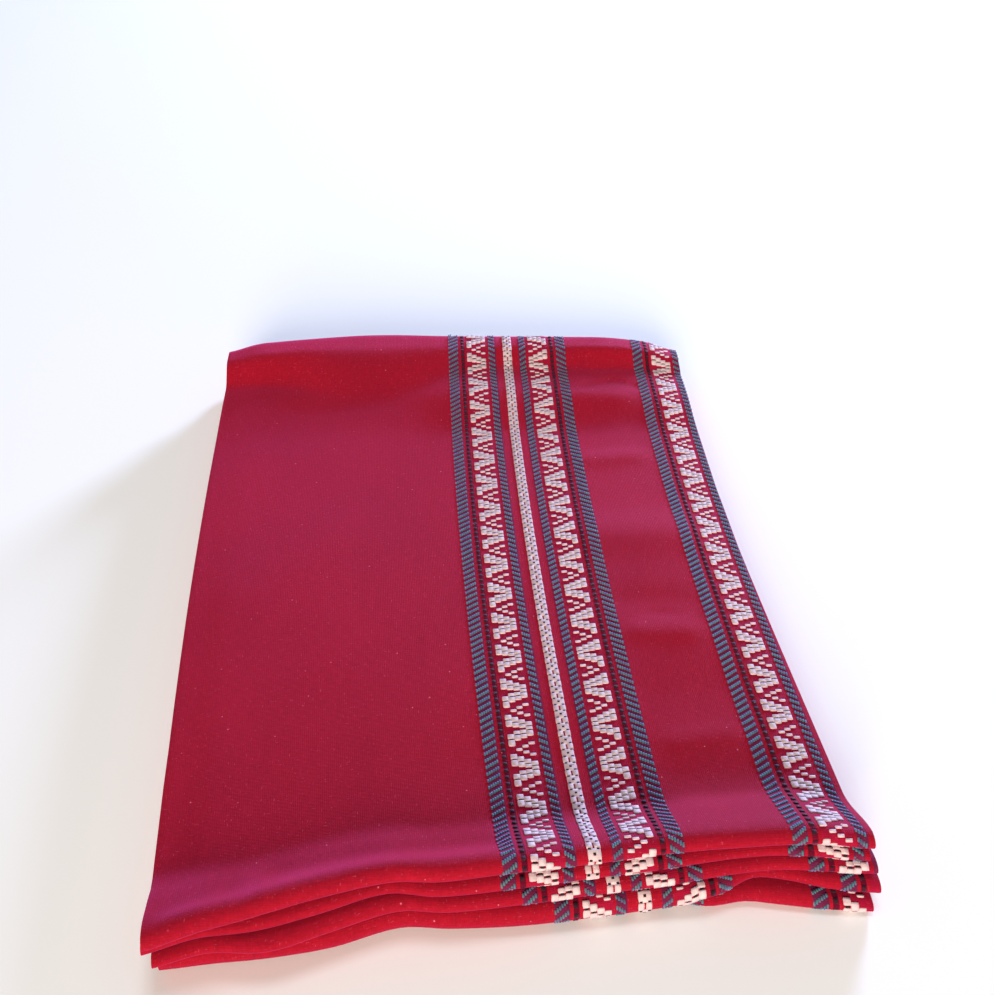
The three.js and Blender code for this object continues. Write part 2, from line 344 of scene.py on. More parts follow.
def layer_height(layer, x, y):
    """Height of a layer's middle plane. Layer 1 is the top one, 10 the lowest, 0 the turned-under flap."""
    if layer == 0:
        under, over = layer_height(2, x, y), layer_height(1, x, y)
        low = (back_height(0, x) - back_height(2, x)) / (back_height(1, x) - back_height(2, x))
        share = low + (0.5 - low) * smooth((back_end("a", x) - y) / (FLAP / 2))
        return under + (over - under) * share
    front = climb(y - front_shoulder(x), FRONT_RISE, -NOSE)
    from_back = back_shoulder(x) - y
    steep_start, early = back_climb(x)
    steep = climb(from_back, steep_start, BACK_STEEP_END)
    gentle = climb(from_back, BACK_GENTLE_START, BACK_GENTLE_END)
    if layer > 1:
        early = 0
    back = early * gentle + (1 - early) * steep
    flat = pressed_height(layer)
    level = flat + swell(x, y) * (1 - front) * (1 - back) * (flat / PRESSED) ** 2
    if layer == 1:
        level += crease(x, y)
    level += (front_height(layer, x) - flat) * front + (back_height(layer, x) - flat) * back
    return SHEET / 2 if layer == LAYERS else SHEET / 2 + (level - SHEET / 2) * (1 - hang(x, y))


def nose_hang(layer, x, y):
    """How far the nose of front fold d hangs down in front of fold e."""
    if layer not in (7, 8):
        return 0
    start = front_end("e", x) - NOSE
    end = front_end("d", x)
    if end >= start:
        return 0
    full = look_up(FRONT_UNDERSIDE, "hang", x) * smooth((start - y) / (start - end))
    return full if layer == 8 else full * UPPER_HANG


def height(layer, x, y):
    return layer_height(layer, x, y) - nose_hang(layer, x, y)


# %% Places across the pile
def side_shift(layer, y):
    """How far a layer lies to the right, from its front fold's shift to its back fold's."""
    front = FRONT_SHIFT[FOLDS[max(0, (layer + 1) // 2 - 1)]]
    back = BACK_SHIFT["end" if layer == LAYERS else FOLDS[layer // 2]]
    return front + (back - front) * smooth((y + FRONT_LINE) / (FRONT_LINE + BACK_LINE))


def narrowed(x, y):
    """The pile is a little narrower at the back, all on its right side."""
    depth = (y + FRONT_LINE) / (FRONT_LINE + BACK_LINE)
    t = np.clip(depth / NARROW_FROM, 0, 1)
    return NARROWING * (x / WIDTH + 0.5) * t * t * (3 - 2 * t)


def across_pile(x, y, shift):
    return x + shift + BOW * (y / FRONT_LINE) ** 2 - narrowed(x, y)


print("height of the top layer in the middle, mm:", round(height(1, 0, 0) + SHEET / 2, 1))

# %% [markdown]
# ## One continuous sheet
# The cloth runs from the flap under the top layer, over the back fold, along the top, round the front fold,
# and so on down to the table. One grid can be laid along that whole way: each row of the grid is one place on
# the way, each column one place across the pile. Rows are close together on the top, where the light shows
# every wave, and round the noses of the folds, and far apart where layers are hidden.

# %% Rows and columns of the grid
COLUMNS = np.linspace(-WIDTH / 2, WIDTH / 2, 87)
TOP_ROWS = 172
NOSE_ROWS = 7
FLAP_STEPS = (50, 42, 34, 27, 20, 14, 9, 4, 0)
END_STEPS = (0, 3, 7, 12, 18, 25, 33, 42, 52, 64)  # distances from a hidden layer's ends
MIDDLE_SHARES = (0.12, 0.3, 0.5, 0.7, 0.88)  # between the steps at its two ends
HIDDEN_ROWS = 2 * len(END_STEPS) + len(MIDDLE_SHARES)


def hidden_ys(front, back):
    near = [front + step for step in END_STEPS]
    far = [back - step for step in reversed(END_STEPS)]
    between = [near[-1] + (far[0] - near[-1]) * share for share in MIDDLE_SHARES]
    return near + between + far


def nose_line(before, after, direction):
    """Points round a fold, between the end of one layer and the start of the next."""
    middle, half = (before[1] + after[1]) / 2, (before[1] - after[1]) / 2
    turns = [math.pi * i / (NOSE_ROWS + 1) for i in range(1, NOSE_ROWS + 1)]
    return [
        (before[0] + direction * NOSE * math.sin(t), middle + half * math.cos(t), before[2])
        for t in turns
    ]


def section_line(x):
    """The way of the cloth at one place across the pile, as (y, z, shift) points."""
    top_back = back_end("a", x)
    line = [(top_back - d, height(0, x, top_back - d), BACK_SHIFT["a"]) for d in FLAP_STEPS]
    for layer in range(1, LAYERS + 1):
        front = front_end(FOLDS[(layer + 1) // 2 - 1], x)
        if layer == LAYERS:
            back = BACK_LINE + look_up(BACK_REACH, "end", x)
        else:
            back = back_end(FOLDS[layer // 2], x)
        ys = list(np.linspace(front, back, TOP_ROWS)) if layer == 1 else hidden_ys(front, back)
        to_front = layer % 2 == 1
        if to_front:
            ys.reverse()
        run = [(y, height(layer, x, y), side_shift(layer, y)) for y in ys]
        line += nose_line(line[-1], run[0], 1 if to_front else -1) + run
    return line


def layer_start(layer):
    """The first row of a layer."""
    rows = len(FLAP_STEPS) + NOSE_ROWS * layer
    return rows + (TOP_ROWS + HIDDEN_ROWS * (layer - 2) if layer > 1 else 0)


# %% Lay the middle of the cloth out as points
def lay_points():
    points = []
    for x in COLUMNS:
        line = np.array(section_line(float(x)))
        y, z, shift = line.T
        points.append(np.stack([across_pile(x, y, shift) - MIDDLE[0], y - MIDDLE[1], z], axis=1))
    return np.array(points)


POINTS = lay_points()
ROWS = POINTS.shape[1]
step_down = np.gradient(POINTS, axis=1)
step_across = np.gradient(POINTS, axis=0)
OUTWARD = np.cross(step_down, step_across)
OUTWARD /= np.linalg.norm(OUTWARD, axis=2, keepdims=True)
ARC = np.zeros(POINTS.shape[:2])
ARC[:, 1:] = np.cumsum(np.linalg.norm(np.diff(POINTS, axis=1), axis=2), axis=1)
print("rows:", ROWS, " length of the cloth, m:", round(float(ARC[len(COLUMNS) // 2, -1]) * MM, 3))

# %% [markdown]
# ## The cloth as a mesh
# A sheet could be simulated, but a pile this flat would only slide and tangle. It is shaped directly instead:
# a flat grid from a bmesh operator gets its vertices moved onto the way of the cloth. The Solidify modifier
# then gives it its two millimetres of thickness, and Bevel rounds the cut rim. The grid also keeps where each
# point lies in the flat cloth, as a UV map in metres, so that the weave follows the folds.

# %% The pattern's place on each fold
# Each fold shows another part of the cloth. The bands move sideways from fold to fold, and `apex` is the
# distance from the fold's nose to the next point of the zigzag. Front folds show the outer face, and back
# folds b to e the inner one.
Zone = namedtuple("Zone", "name first last tip shift apex side span")
TOP_MARGIN, FOLD_MARGIN = 4, 8  # rows of the neighbouring layers that belong to a zone
TOP_SPAN, FOLD_SPAN = (-312, 322), (-15, 26)  # the part that carries yarns, along the cloth


def fold_zone(name, layer, shift, apex, side):
    """The nose between a layer and the next one, with a few rows of both layers."""
    nose = layer_start(layer + 1) - NOSE_ROWS
    tip = nose + NOSE_ROWS // 2
    first, last = nose - FOLD_MARGIN, nose + NOSE_ROWS + FOLD_MARGIN
    return Zone(name, first, last, tip, shift, apex, side, FOLD_SPAN)


TOP = Zone("top", TOP_MARGIN, layer_start(2) + TOP_MARGIN, None, 0, -19.9, 1, TOP_SPAN)
FRONT_ZONES = [
    fold_zone("front b", 3, 0.5, 16, 1),
    fold_zone("front c", 5, 8, 24, 1),
    fold_zone("front d", 7, 26, 13, 1),
    fold_zone("front e", 9, 14, 10, 1),
]
BACK_ZONES = [
    fold_zone("back b", 2, -1, 20, -1),
    fold_zone("back c", 4, 6, 8, -1),
    fold_zone("back d", 6, 24, 28, -1),
    fold_zone("back e", 8, 28, 14, -1),
]
# Right of one place, the threads are drawn a little to the left towards the back.
SECOND_PULL, PULL_FROM = 0.036, 110


def drift(x, y):
    """How far the warp threads stand to the right of their chart place, towards the back."""
    depth = (y + FRONT_LINE) / (FRONT_LINE + BACK_LINE)
    t = np.clip(depth / NARROW_FROM, 0, 1)
    return narrowed(x, y) - SECOND_PULL * np.clip(x - PULL_FROM, 0, None) * t * t * (3 - 2 * t)


def cloth_coordinates():
    """Where each grid point lies in the flat cloth: across and along, in millimetres."""
    y = POINTS[:, :, 1] + MIDDLE[1]
    across = COLUMNS[:, None] - drift(COLUMNS[:, None], y)
    top_origin = np.array([
        np.interp(0, -y[c, layer_start(1):layer_start(2)], ARC[c, layer_start(1):layer_start(2)])
        for c in range(len(COLUMNS))
    ])
    along = top_origin[:, None] - ARC
    zone_of_row = np.full(ROWS, -1)
    tips = FRONT_ZONES + BACK_ZONES
    for row in range(layer_start(2) + HIDDEN_ROWS // 2, ROWS):
        zone_of_row[row] = min(range(len(tips)), key=lambda k: abs(tips[k].tip - row))
    for k, zone in enumerate(tips):
        rows = zone_of_row == k
        across[:, rows] -= zone.shift
        along[:, rows] = ARC[:, [zone.tip]] - ARC[:, rows]
    return across, along


ACROSS, ALONG = cloth_coordinates()


# %% The sheet
def grid_mesh(name):
    """A flat grid with one vertex for each point of the lay, and the column and row of each vertex."""
    bm = bmesh.new()
    bmesh.ops.create_grid(bm, x_segments=len(COLUMNS) - 1, y_segments=ROWS - 1, size=1)
    mesh = bpy.data.meshes.new(name)
    bm.to_mesh(mesh)
    bm.free()
    flat = np.empty(len(mesh.vertices) * 3)
    mesh.vertices.foreach_get("co", flat)
    flat = flat.reshape(-1, 3)
    column = np.rint((flat[:, 0] + 1) / 2 * (len(COLUMNS) - 1)).astype(int)
    row = np.rint((1 - flat[:, 1]) / 2 * (ROWS - 1)).astype(int)
    return mesh, column, row


def set_points(mesh, points):
    mesh.vertices.foreach_set("co", (points * MM).ravel())
    mesh.update()


def set_uv(mesh, name, pairs):
    """A UV map with one pair of numbers for each vertex."""
    vertex = np.empty(len(mesh.loops), dtype=int)
    mesh.loops.foreach_get("vertex_index", vertex)
    layer = mesh.uv_layers.get(name) or mesh.uv_layers.new(name=name)
    layer.data.foreach_set("uv", pairs[vertex].ravel())


def add_object(name, mesh):
    piece = bpy.data.objects.new(name, mesh)
    bpy.context.collection.objects.link(piece)
    return piece


mesh, column, row = grid_mesh("cloth")
set_points(mesh, POINTS[column, row])
set_uv(mesh, "weave", np.stack([ACROSS[column, row], ALONG[column, row]], axis=1) * MM)
mesh.shade_smooth()
cloth = add_object("cloth", mesh)
thickness = cloth.modifiers.new("thickness", "SOLIDIFY")
thickness.thickness = SHEET * MM
thickness.offset = 0
rim = cloth.modifiers.new("rim", "BEVEL")
rim.width = 0.5 * MM
rim.segments = 2
rim.limit_method = "ANGLE"
rim.angle_limit = math.radians(60)
print("cloth:", len(mesh.polygons), "faces before its thickness")

# %% [markdown]
# ## Laying things on the cloth
# The white, blue-green and black yarns are raised, so they are real geometry. It is hopeless to place
# thousands of yarns on a curved sheet one by one. They are laid out flat, like a weaver's chart, and one
# function carries every point from the flat chart to the folded cloth: it looks up the point of the sheet at
# that place and steps outwards by the yarn's height.

# %% From the flat chart to the folded cloth
PATCH_STEP = 1.0
PATCH_FROM = -25  # the bands lie to the right of this place
Patch = namedtuple("Patch", "start columns points outward")


def make_patch(zone):
    """The sheet of one zone on an even grid: its columns by every millimetre along the cloth."""
    columns = np.flatnonzero(COLUMNS >= PATCH_FROM)
    rows = slice(zone.last, zone.first, -1)
    start = max(zone_along(zone, c)[rows][0] for c in columns)
    stop = min(zone_along(zone, c)[rows][-1] for c in columns)
    along = np.arange(start, stop, PATCH_STEP)
    points, outward = [], []
    for c in columns:
        here = zone_along(zone, c)[rows]
        points.append([np.interp(along, here, POINTS[c, rows, k]) for k in range(3)])
        outward.append([np.interp(along, here, OUTWARD[c, rows, k]) for k in range(3)])
    points, outward = (np.array(grid).transpose(0, 2, 1) for grid in (points, outward))
    return Patch(start, COLUMNS[columns], points, outward)


def zone_along(zone, c):
    """Distance along the cloth at one column, from the zone's own origin, growing against the rows."""
    if zone.tip is None:
        return ALONG_TOP[c]
    return ARC[c, zone.tip] - ARC[c]


ALONG_TOP = ALONG[:, [0]] + ARC[:, [0]] - ARC


def look(patch, values, x, along):
    """The value of a patch between its grid points."""
    across = (x - patch.columns[0]) / (patch.columns[1] - patch.columns[0])
    down = (along - patch.start) / PATCH_STEP
    c = np.clip(across.astype(int), 0, values.shape[0] - 2)
    r = np.clip(down.astype(int), 0, values.shape[1] - 2)
    s, t = (across - c)[:, None], (down - r)[:, None]
    near = values[c, r] * (1 - s) + values[c + 1, r] * s
    far = values[c, r + 1] * (1 - s) + values[c + 1, r + 1] * s
    return near * (1 - t) + far * t


def on_cloth(patch, side, across, along, lift):
    """Carries flat chart points to the folded cloth."""
    x = across
    for _ in range(3):
        y = look(patch, patch.points, x, along)[:, 1] + MIDDLE[1]
        x = across + drift(x, y)
    outward = look(patch, patch.outward, x, along)
    outward /= np.linalg.norm(outward, axis=1, keepdims=True)
    return look(patch, patch.points, x, along) + outward * side * (SHEET / 2 + lift)[:, None]


PATCHES = {zone.name: make_patch(zone) for zone in [TOP] + FRONT_ZONES + BACK_ZONES}
print("zones that carry the pattern:", len(PATCHES))

# %% [markdown]
# ## One raised yarn
# A float is a bit of thick yarn that lies on top of the weave before it dives under again. It starts as a
# small grid. The rim is pushed below the cloth's surface, the inside bulges up in soft ridges, one for each
# pass of the yarn, and the open underside is closed. There are thousands of copies, so each has only a few
# dozen faces.

# %% Float shapes
Float = namedtuple("Float", "points faces")
BURIED = -0.35  # height of a float's rim, below the cloth's surface
SHOULDER = 0.42  # how near the rim the raised part of a float reaches, of half a unit
BETWEEN_RIDGES, RIDGE = 0.65, 0.35  # height between two ridges, and what a ridge adds


def make_float(across, along, ridges, roundness=4):
    """A pillow one unit wide and long, on a grid, with ridges that run across it."""
    bm = bmesh.new()
    bmesh.ops.create_grid(bm, x_segments=across, y_segments=along, size=0.5)
    for vertex in bm.verts:
        u, v = vertex.co.x, vertex.co.y
        on_rim = max(abs(u), abs(v)) > 0.499
        if on_rim:
            vertex.co *= 0.5 / (abs(u) ** roundness + abs(v) ** roundness) ** (1 / roundness)
            vertex.co.z = BURIED
            continue
        ripple = 0.5 - 0.5 * math.cos(2 * math.pi * ridges * (v + 0.5))
        vertex.co.x *= SHOULDER / (0.5 - 1 / across)
        vertex.co.y *= SHOULDER / (0.5 - 1 / along)
        vertex.co.z = BETWEEN_RIDGES + RIDGE * ripple
    rim_edges = [edge for edge in bm.edges if edge.is_boundary]
    bmesh.ops.contextual_create(bm, geom=rim_edges)
    bmesh.ops.recalc_face_normals(bm, faces=bm.faces)
    bm.verts.index_update()
    shape = Float(np.array([v.co[:] for v in bm.verts]), [[v.index for v in f.verts] for f in bm.faces])
    bm.free()
    return shape


FLOATS = {
    "knot": make_float(3, 3, 1, roundness=3),
    "short": make_float(3, 5, 2),
    "long": make_float(3, 7, 3),
}
print("faces of a float:", {kind: len(shape.faces) for kind, shape in FLOATS.items()})

# %% [markdown]
# ## The weaver's chart
# One group of bands is about 109 mm wide and the same to the left and right of its middle: a wide blue-green
# band, a black one, a zigzag, a narrow blue-green band, and a white chain in the middle. Everything repeats
# every 35 mm along the cloth. The chart gives one repeat, counted from the thin point of the zigzag. A second
# group starts near the right edge and is cut off after its first narrow band.

# %% One repeat of the chart
REPEAT = 35.0
SIXTH = REPEAT / 6
GROUP = 109.3
CHAIN = GROUP / 2 + 0.4
GROUP_LEFT = -9.4
SECOND_LEFT, SECOND_STRETCH, SECOND_WIDTH = 165.0, 1.045, 48.5
ZIGZAG_COLUMNS = {1: (17.3, 21.6), 2: (21.6, 25.9), 3: (25.9, 30.2), 4: (30.2, 34.6)}
THIN_STROKE = table("column along", (4, 5.1), (3, 2.7), (2, 0), (3, -2.5), (4, -4.7))
THICK_STROKE = table(
    "column top bottom",
    (1, -3.8, -8.4),
    (1, -8.9, -14.3),
    (1, -21.3, -25.7),
    (1, -26.3, -31.9),
    (2, -6.1, -10.6),
    (2, -11.2, -15.2),
    (2, -18.6, -21.7),
    (2, -22.3, -27.0),
    (3, -8.7, -12.5),
    (3, -13.1, -15.9),
    (3, -17.9, -21.1),
    (3, -21.7, -25.2),
    (4, -10.7, -14.5),
    (4, -15.1, -17.9),
    (4, -18.5, -23.4),
)
# Sizes are across and along. A dark knot lies on a white float, so it has to rise further.
THIN_OVERLAP, THIN_LENGTH = 0.1, 2.0
THICK_OVERLAP, BLOCK_GAP, LONG_FROM = 0.5, 0.1, 5
# Painted shade: size and rise of the dark knots that darken the narrow gaps of a thick stroke.
GAP_SHADE, GAP_SHADE_RISE, WIDEST_SHADED_GAP = (2.9, 1.2), 1.25, 1
CHAIN_BLOCK, CHAIN_HALF, CHAIN_SIDE = (8.6, 7.4), (4.0, 5.4), 2.35
CHAIN_DOT, SIDE_DOT, DOT_SIDE, DOT_RISE = (1.9, 1.5), (2.0, 0.9), 2.6, 2.0
STITCH, STITCH_ACROSS, STITCH_ALONG = (1.25, 2.6), 1.5, 0.98
WIDE_BAR, NARROW_BAR = (0.7, 6), (38.0, 4)  # where a bar starts, and how many stitches it has
SQUARE, SQUARE_PLACE = (3.1, 3.1), 13.0
Yarn = namedtuple("Yarn", "kind across along width length rise", defaults=[1.0])


def mirrored(yarns, total=GROUP):
    return yarns + [y._replace(across=total - y.across) for y in yarns]


def zigzag():
    yarns = []
    for stroke in THIN_STROKE:
        left, right = ZIGZAG_COLUMNS[stroke["column"]]
        width = right - left + THIN_OVERLAP
        yarns.append(Yarn("knot", (left + right) / 2, stroke["along"], width, THIN_LENGTH))
    for stroke in THICK_STROKE:
        left, right = ZIGZAG_COLUMNS[stroke["column"]]
        length = stroke["top"] - stroke["bottom"] - BLOCK_GAP
        kind = "long" if length > LONG_FROM else "short"
        middle = (stroke["top"] + stroke["bottom"]) / 2
        yarns.append(Yarn(kind, (left + right) / 2, middle, right - left + THICK_OVERLAP, length))
    return mirrored(yarns)


def shade_in_gaps():
    """Painted shade: dark knots laid in the narrow gaps between two blocks of a thick stroke."""
    yarns = []
    for upper, lower in zip(THICK_STROKE, THICK_STROKE[1:]):
        if upper["column"] == lower["column"] and upper["bottom"] - lower["top"] < WIDEST_SHADED_GAP:
            left, right = ZIGZAG_COLUMNS[upper["column"]]
            along = (upper["bottom"] + lower["top"]) / 2
            yarns.append(Yarn("knot", (left + right) / 2, along, *GAP_SHADE, GAP_SHADE_RISE))
    return mirrored(yarns)


def chain():
    """A white block with a dark dot alternates with a split one that lets the ground through."""
    yarns = []
    for i in range(0, 6, 2):
        yarns.append(Yarn("long", CHAIN, (i + 1) * SIXTH, *CHAIN_BLOCK))
        for side in (-CHAIN_SIDE, CHAIN_SIDE):
            yarns.append(Yarn("short", CHAIN + side, i * SIXTH, *CHAIN_HALF))
    return yarns


def chain_dots():
    yarns = [Yarn("knot", CHAIN, i * SIXTH, *CHAIN_DOT, DOT_RISE) for i in range(1, 6, 2)]
    for i in range(6):
        for side in (-DOT_SIDE, DOT_SIDE):
            yarns.append(Yarn("knot", CHAIN + side, (i + 0.5) * SIXTH, *SIDE_DOT, DOT_RISE))
    return yarns


def bar(start, stitches, along, slant):
    """One slanting bar: a row of small stepped stitches."""
    middle = (stitches - 1) / 2
    return [
        Yarn("knot", start + STITCH_ACROSS * k, along + slant * STITCH_ALONG * (k - middle), *STITCH)
        for k in range(stitches)
    ]


def bars():
    yarns = []
    for i in range(6):
        yarns += bar(*WIDE_BAR, i * SIXTH, 1) + bar(*NARROW_BAR, i * SIXTH, -1)
    return mirrored(yarns)


def squares():
    return mirrored([Yarn("knot", SQUARE_PLACE, i * SIXTH, *SQUARE) for i in range(6)])


# The black pieces hold real black yarn and also the knots of painted shade in the gaps.
CHART = {"white": zigzag() + chain(), "teal": bars(), "black-and-shade": squares() + shade_in_gaps() + chain_dots()}
print("floats in one repeat:", {colour: len(yarns) for colour, yarns in CHART.items()})


# %% Weave the chart into every zone
BEAT_FAR, BEAT_NEAR = 0.997, 0.971  # the weft is beaten a little looser at the back than at the front
COPIES = range(-11, 12)  # more copies of the repeat than any zone can hold
SELVAGE_WIDTH = 2.5  # no yarn comes nearer to the cloth's right edge
SECOND_LAG = 0.035  # rows of the second group lie a little nearer to the front, towards the back


def places(yarns, zone):
    """Every copy of the repeat's yarns that lies inside one zone."""
    low, high = zone.span
    groups = [(GROUP_LEFT, 1.0, GROUP + 1), (SECOND_LEFT, SECOND_STRETCH, SECOND_WIDTH)]
    found = []
    for left, stretch, width in groups:
        for yarn in yarns:
            across = left + zone.shift + yarn.across * stretch
            if yarn.across > width or across + yarn.width / 2 > WIDTH / 2 - SELVAGE_WIDTH:
                continue
            for k in COPIES:
                along = zone.apex + yarn.along + k * REPEAT
                if zone.tip is None:
                    along *= BEAT_FAR if along > 0 else BEAT_NEAR
                    along -= SECOND_LAG * max(0, along) if left == SECOND_LEFT else 0
                if low < along < high:
                    found.append(yarn._replace(across=across, along=along, width=yarn.width * stretch))
    return found


def weave_mesh(name, yarns, lift, zones):
    """All floats of one colour, joined in one mesh and laid on the cloth."""
    points, faces, flat, count = [], [], [], 0
    for zone in zones:
        found = places(yarns, zone)
        for kind, shape in FLOATS.items():
            rows = np.array([y[1:] for y in found if y.kind == kind])
            if not len(rows):
                continue
            u, v, width, length, rise = (rows[:, [k]] for k in range(5))
            across = u + shape.points[:, 0] * width
            along = v + shape.points[:, 1] * length
            up = shape.points[:, 2] * lift * rise
            laid = on_cloth(PATCHES[zone.name], zone.side, across.ravel(), along.ravel(), up.ravel())
            points.append(laid)
            flat.append(np.stack([across.ravel() - zone.shift, along.ravel()], axis=1) * MM)
            size = len(shape.points)
            for i in range(len(rows)):
                turn = 1 if zone.side > 0 else -1
                faces += [[count + i * size + k for k in face[::turn]] for face in shape.faces]
            count += len(laid)
    mesh = bpy.data.meshes.new(name)
    mesh.from_pydata((np.concatenate(points) * MM).tolist(), [], faces)
    set_uv(mesh, "weave", np.concatenate(flat))
    mesh.shade_smooth()
    return mesh


LIFTS = {"white": 0.75, "teal": 0.6, "black-and-shade": 0.5}
FOLD_ZONES = FRONT_ZONES + BACK_ZONES
yarn_pieces = {}
for colour, lift in LIFTS.items():
    for part, zones in (("top", [TOP]), ("folds", FOLD_ZONES)):
        name = f"{colour}_yarn_{part}"
        yarn_pieces[name] = add_object(name, weave_mesh(name, CHART[colour], lift, zones))
        print(name, "faces:", len(yarn_pieces[name].data.polygons))

# %% [markdown]
# ## Finishes
# Woven cotton is matt, but its fine fibres catch light at a low angle, which a shader calls sheen. The ground
# is a plain weave of thin threads, too fine to model, so it is a bump pattern that reads the cloth's own UV
# map. The small helper below adds a node, sets its sockets and links what feeds it.

# %% Node helpers
def new_material(name, **settings):
    material = bpy.data.materials.new(name)
    material.use_nodes = True
    shader = material.node_tree.nodes["Principled BSDF"]
    for socket, value in settings.items():
        shader.inputs[socket.replace("_", " ").title()].default_value = value
    return material, material.node_tree, shader


def add_node(tree, kind, inputs=(), **settings):
    node = tree.nodes.new(kind)
    for name, value in settings.items():
        setattr(node, name, value)
    for socket, value in dict(inputs).items():
        if isinstance(value, bpy.types.NodeSocket):
            tree.links.new(value, node.inputs[socket])
        else:
            node.inputs[socket].default_value = value
    return node


def cloth_position(tree, scale):
    """The flat cloth's own coordinates in metres, stretched by a scale for each direction."""
    uv = add_node(tree, "ShaderNodeUVMap", uv_map="weave")
    return add_node(tree, "ShaderNodeMapping", {"Vector": uv.outputs["UV"], "Scale": (*scale, 1)}).outputs[0]


def noise(tree, scale, detail):
    node = add_node(tree, "ShaderNodeTexNoise", {
        "Vector": cloth_position(tree, scale), "Scale": 1.0, "Detail": detail,
    })
    return node.outputs["Fac"]


def ramp(tree, value, stops, interpolation="LINEAR"):
    node = add_node(tree, "ShaderNodeValToRGB", {"Fac": value})
    node.color_ramp.interpolation = interpolation
    while len(node.color_ramp.elements) < len(stops):
        node.color_ramp.elements.new(0.5)
    for element, (position, colour) in zip(node.color_ramp.elements, stops):
        element.position = position
        element.color = (*colour, 1)
    return node.outputs["Color"]


def grey(level):
    return (level, level, level)


def blend_colours(tree, share, first, second, mode="MIX"):
    node = add_node(tree, "ShaderNodeMix", {"Factor": share}, data_type="RGBA", blend_type=mode)
    for socket, value in ((node.inputs[6], first), (node.inputs[7], second)):
        if isinstance(value, bpy.types.NodeSocket):
            tree.links.new(value, socket)
        else:
            socket.default_value = (*value, 1)
    return node.outputs[2]


def threads(tree, pitch, direction):
    """Waves across the cloth, one for each thread."""
    node = add_node(tree, "ShaderNodeTexWave", {
        "Vector": cloth_position(tree, (1, 1)), "Scale": math.pi / 10 / pitch, "Distortion": 0.0,
    }, wave_type="BANDS", bands_direction=direction)
    return node.outputs["Fac"]


def bump(tree, height_value, distance, strength):
    return add_node(tree, "ShaderNodeBump", {
        "Height": height_value, "Distance": distance, "Strength": strength,
    }).outputs["Normal"]


# %% Red ground cotton
RED = (0.385, 0.0060, 0.0200)
DEEP_RED = (0.300, 0.0040, 0.0185)
SLUB = (0.62, 0.090, 0.170)
LINT = (0.80, 0.30, 0.38)
# Pink-red rim colour: partly the selvage's own colour, partly painted sheen along the cloth's edge.
SELVAGE_AND_SHEEN = (0.60, 0.045, 0.130, 1)
BAND_RED = (0.370, 0.0065, 0.0340)
PURPLE = (0.120, 0.0160, 0.0600)
DARK_BAND = (0.08, 0.0030, 0.0160)
SECOND_FROM = 0.13  # metres across, right of which the second group's colours hold
# Where each stripe of a group's left half starts and ends, and its colour.
HALF_GROUP = [(0, 9.2, PURPLE), (11.3, 14.7, DARK_BAND), (16.6, 36.2, BAND_RED), (37.4, 44.0, PURPLE)]


def band_colours(tree, across, left, stretch, width):
    """Ground colours under one group of bands, from its left end to its right end."""
    stripes = HALF_GROUP + [(GROUP - b, GROUP - a, colour) for a, b, colour in reversed(HALF_GROUP)]
    stops = [(0.0, RED)]
    for a, b, colour in stripes:
        if b < width:
            stops += [((a + 1) / (width + 1), colour), ((b + 1) / (width + 1), RED)]
    place = add_node(tree, "ShaderNodeMapRange", {
        "Value": across, "From Min": (left - stretch) * MM, "From Max": (left + width * stretch) * MM,
    })
    return ramp(tree, place.outputs[0], stops, "CONSTANT")


red, tree, shader = new_material("red_cotton", roughness=0.9, sheen_weight=0.8, sheen_roughness=0.4)
shader.inputs["Sheen Tint"].default_value = (1.0, 0.10, 0.36, 1)
shader.inputs["Specular IOR Level"].default_value = 0.06
uv = add_node(tree, "ShaderNodeUVMap", uv_map="weave")
split = add_node(tree, "ShaderNodeSeparateXYZ", {"Vector": uv.outputs["UV"]})
across = split.outputs["X"]
first = band_colours(tree, across, GROUP_LEFT, 1.0, GROUP + 1)
second = band_colours(tree, across, SECOND_LEFT, SECOND_STRETCH, SECOND_WIDTH)
right_part = add_node(tree, "ShaderNodeMath", {0: across, 1: SECOND_FROM}, operation="GREATER_THAN")
bands = blend_colours(tree, right_part.outputs[0], first, second)
cloudy = ramp(tree, noise(tree, (14, 9), 3), [(0.35, grey(0)), (0.7, grey(1))])
ground = blend_colours(tree, cloudy, bands, blend_colours(tree, 0.5, bands, DEEP_RED))
weft_grain = ramp(tree, noise(tree, (170, 800), 2), [(0.30, grey(0.80)), (0.70, grey(1.0))])
warp_grain = ramp(tree, noise(tree, (800, 170), 2), [(0.30, grey(0.84)), (0.70, grey(1.0))])
ground = blend_colours(tree, 1.0, ground, weft_grain, "MULTIPLY")
ground = blend_colours(tree, 1.0, ground, warp_grain, "MULTIPLY")
weft_slubs = ramp(tree, noise(tree, (280, 1000), 1), [(0.69, grey(0)), (0.77, grey(0.35))])
warp_slubs = ramp(tree, noise(tree, (1000, 280), 1), [(0.69, grey(0)), (0.77, grey(0.4))])
ground = blend_colours(tree, weft_slubs, ground, SLUB)
ground = blend_colours(tree, warp_slubs, ground, SLUB)
lint = add_node(tree, "ShaderNodeTexVoronoi", {"Vector": cloth_position(tree, (75, 75)), "Scale": 1.0})
specks = ramp(tree, lint.outputs["Distance"], [(0.020, grey(0.6)), (0.045, grey(0))])
ground = blend_colours(tree, specks, ground, LINT)
tree.links.new(ground, shader.inputs["Base Color"])
woven = add_node(tree, "ShaderNodeMath", {
    0: threads(tree, 0.0013, "X"), 1: threads(tree, 0.0011, "Y"),
}, operation="MULTIPLY").outputs[0]
fibres = add_node(tree, "ShaderNodeMath", {0: woven, 1: noise(tree, (700, 700), 2)}, operation="ADD")
tree.links.new(bump(tree, fibres.outputs[0], 0.00030, 0.6), shader.inputs["Normal"])
